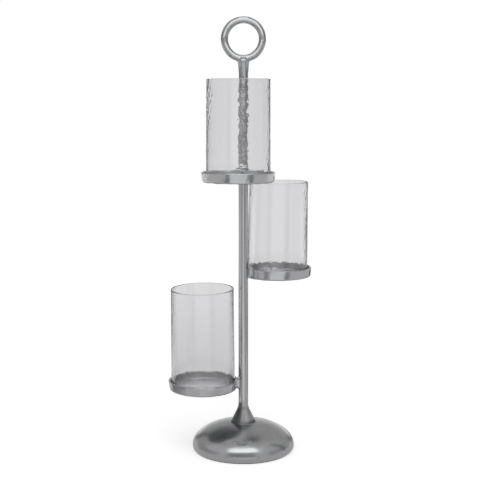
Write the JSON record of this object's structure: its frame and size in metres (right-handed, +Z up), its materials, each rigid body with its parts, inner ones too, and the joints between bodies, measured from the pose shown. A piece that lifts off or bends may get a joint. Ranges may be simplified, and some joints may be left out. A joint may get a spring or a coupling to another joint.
{
  "type": "torchere candle stand",
  "caption": "Free-standing torchere candle stand: cast trays stepped round a central pole, each with an open hurricane glass, on a domed base, with a carrying ring on top.",
  "frame": {"origin": "on the pole's axis at floor level", "axes": "+Z up along the pole, -Y towards the front, where the highest tray stands, +X to the right as seen from the front"},
  "size_m": [0.3513, 0.3236, 1.0415],
  "materials": {
    "cast_aluminium": "sand cast, hand polished, nickel-bright with soft waves",
    "polished_tube": "drawn tube, polished lengthwise",
    "zinc_steel": "zinc plated",
    "felt": "pressed wool felt",
    "clear_glass": "hand-drawn, rippled, fire-polished rim"
  },
  "bodies": {
    "stand": {"base": "cast_aluminium", "foot_felt": "felt", "base_bolt": "zinc_steel", "base_spring_washer": "zinc_steel", "base_washer": "zinc_steel", "pole": "polished_tube", "pole_foot_insert": "zinc_steel", "pole_top_insert": "zinc_steel", "finial_stud": "zinc_steel", "finial": "cast_aluminium", "bottom_tray": "cast_aluminium", "middle_tray": "cast_aluminium", "top_tray": "cast_aluminium", "bottom_tray_screw": "zinc_steel", "middle_tray_screw": "zinc_steel", "top_tray_screw": "zinc_steel", "bottom_tray_nut": "zinc_steel", "middle_tray_nut": "zinc_steel", "top_tray_nut": "zinc_steel"},
    "bottom_hurricane": {"bottom_glass": "clear_glass"},
    "middle_hurricane": {"middle_glass": "clear_glass"},
    "top_hurricane": {"top_glass": "clear_glass"}
  },
  "joints": [
    {"name": "bottom_glass_lift", "type": "slide", "parent": "stand", "child": "bottom_hurricane", "axis": [0, 0, 1], "range_m": [0, 0.24]},
    {"name": "middle_glass_lift", "type": "slide", "parent": "stand", "child": "middle_hurricane", "axis": [0, 0, 1], "range_m": [0, 0.24]},
    {"name": "top_glass_lift", "type": "slide", "parent": "stand", "child": "top_hurricane", "axis": [0, 0, 1], "range_m": [0, 0.24]}
  ]
}
